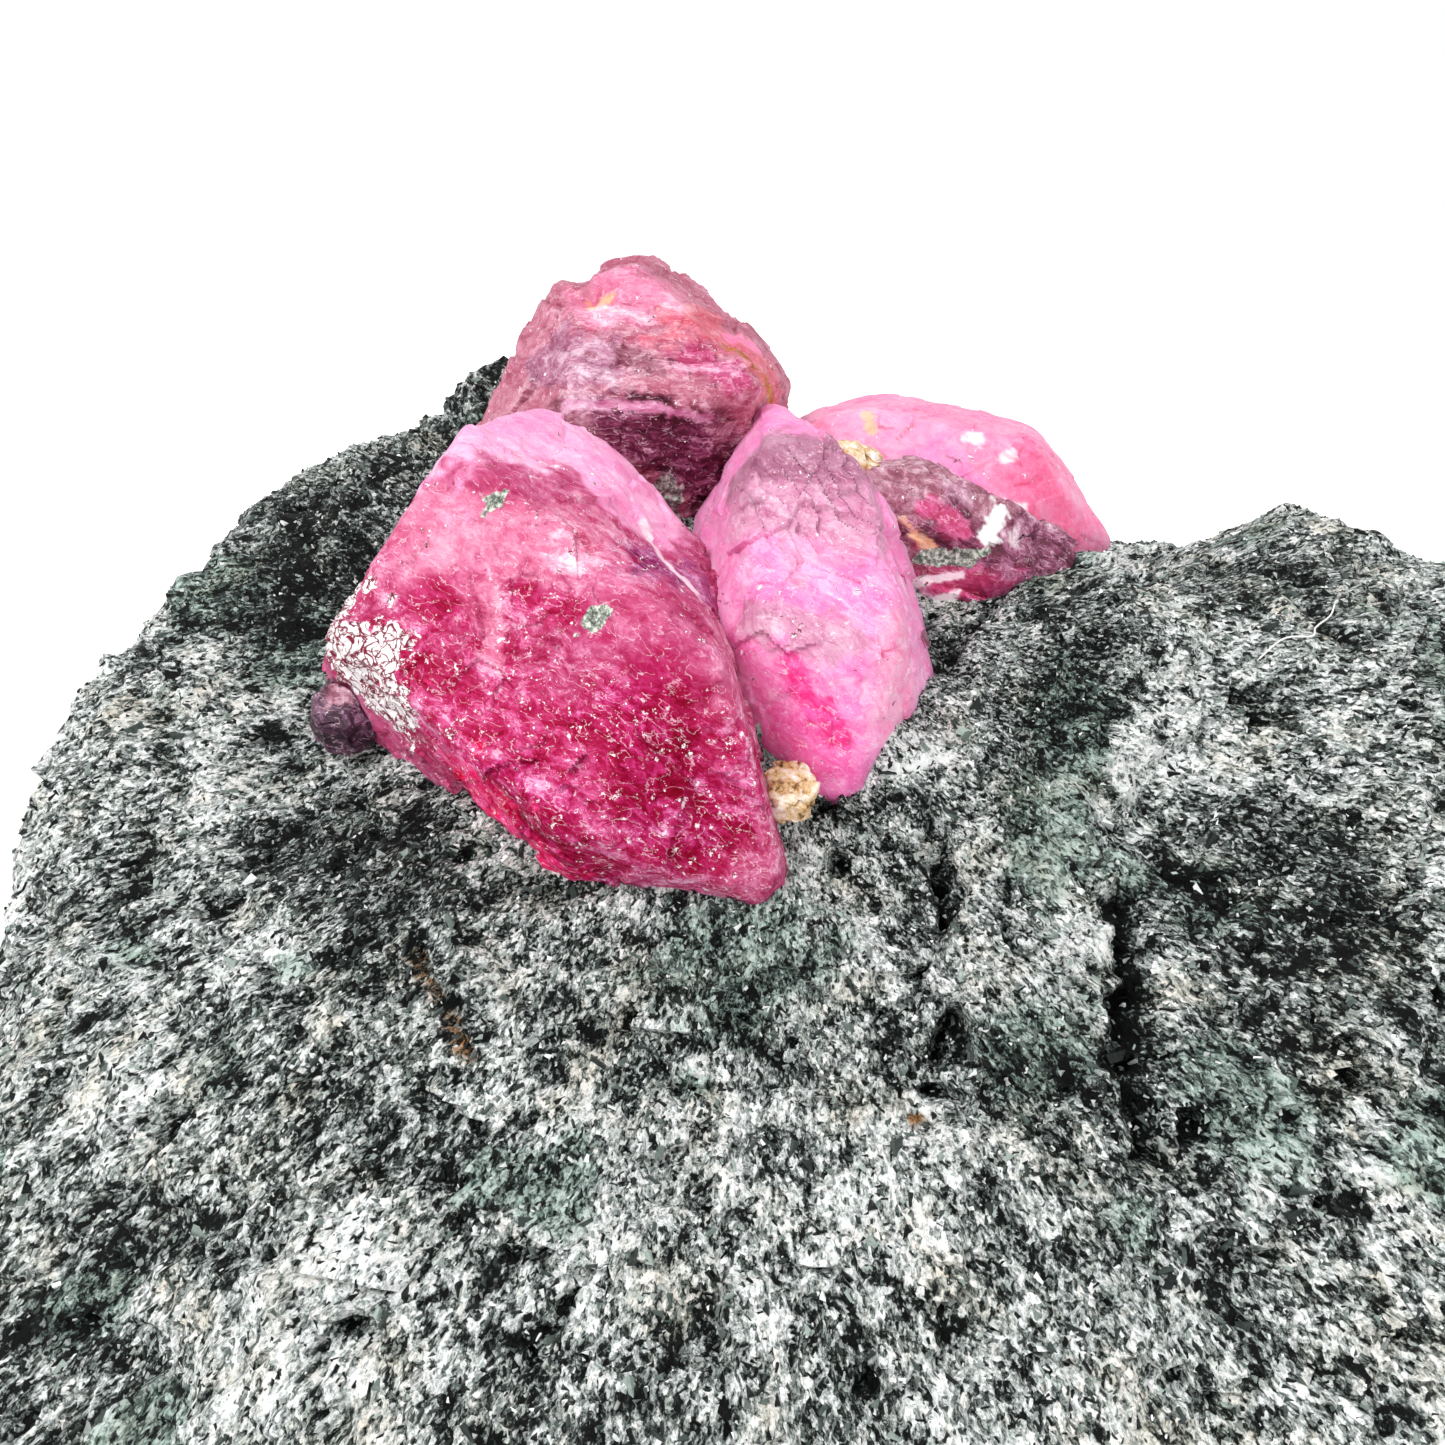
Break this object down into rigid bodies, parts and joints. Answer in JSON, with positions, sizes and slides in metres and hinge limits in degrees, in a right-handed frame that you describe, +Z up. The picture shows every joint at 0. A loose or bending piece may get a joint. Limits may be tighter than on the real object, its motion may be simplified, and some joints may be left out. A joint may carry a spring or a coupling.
{
  "type": "ruby on matrix",
  "caption": "Cluster of rough pink-red ruby crystals grown in the sloping top of a broken block of dark grey-green amphibolite with a flat sawn base.",
  "frame": {"origin": "middle of the whole specimen's outline, on the plane of the flat sawn base", "axes": "+X along the block's longest side, to the right as seen from the ruby side; +Y away from the slope that carries the rubies; +Z up"},
  "size_m": [0.0591, 0.047, 0.0359],
  "materials": {
    "amphibolite": "rough broken rock, salt and pepper",
    "ruby_pink": "cloudy natural crystal, glossy on fresh faces",
    "ruby_dusky": "striated natural crystal",
    "ruby_coral": "smooth translucent crystal",
    "ruby_dark": "glassy dark crystal",
    "feldspar": "sugary grain",
    "hornblende": "dark cleaved prisms",
    "lint": "one textile fibre"
  },
  "bodies": {
    "root": {"matrix": "amphibolite", "ruby_main": "ruby_pink", "ruby_front": "ruby_pink", "ruby_peak": "ruby_dusky", "ruby_rear": "ruby_coral", "ruby_shard": "ruby_dark", "ruby_chip": "ruby_dark", "feldspar_low": "feldspar", "feldspar_high": "feldspar"}
  },
  "joints": []
}
